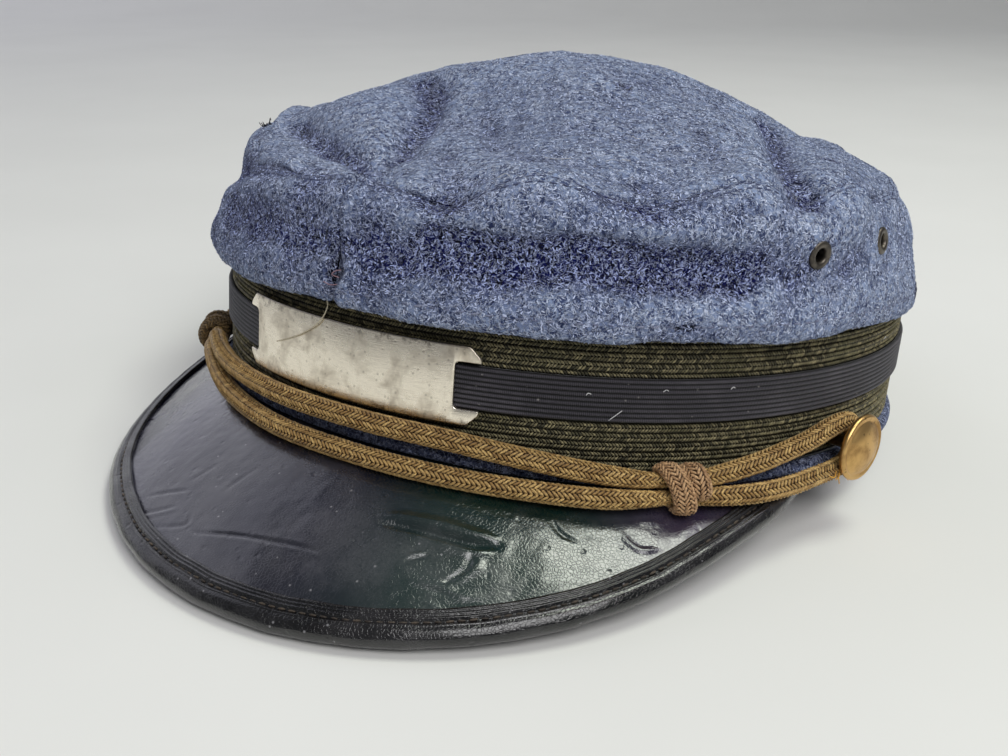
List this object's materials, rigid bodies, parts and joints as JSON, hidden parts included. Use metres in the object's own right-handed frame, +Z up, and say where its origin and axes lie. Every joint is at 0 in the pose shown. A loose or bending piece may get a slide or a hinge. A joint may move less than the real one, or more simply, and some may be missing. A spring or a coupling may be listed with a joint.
{
  "type": "railroad conductor cap",
  "caption": "Soft wool peaked cap with a braided band, corded ribbon, plain metal badge, patent leather visor and looped chin cord; open below for the head.",
  "frame": {"origin": "bottom centre of the bounding box of the cap as it rests on a flat surface", "axes": "+Z up, the visor towards -Y, the wearer's left towards +X"},
  "size_m": [0.2032, 0.2524, 0.0997],
  "materials": {
    "wool": "heathered blue-grey wool cloth with a short nap",
    "braid": "dark olive herringbone braid",
    "ribbon": "charcoal corded ribbon",
    "badge": "worn nickel plate, tarnished at the edges",
    "welt": "blue wool piping",
    "patent": "cracked black patent leather",
    "binding": "worn black leather, stitched",
    "cord": "aged gold braid",
    "knot": "wound tan thread",
    "button": "dull gilt brass",
    "eyelet": "worn dark enamel"
  },
  "bodies": {
    "root": {"crown_top": "wool", "crown_side_left": "wool", "crown_side_right": "wool", "band": "braid", "ribbon": "ribbon", "badge": "badge", "band_welt": "welt", "visor": "patent", "visor_binding": "binding", "chin_cord": "cord", "knot_left": "knot", "knot_right": "knot", "button_left": "button", "button_right": "button", "eyelet_left_front": "eyelet", "eyelet_left_back": "eyelet", "eyelet_right_front": "eyelet", "eyelet_right_back": "eyelet"}
  },
  "joints": []
}
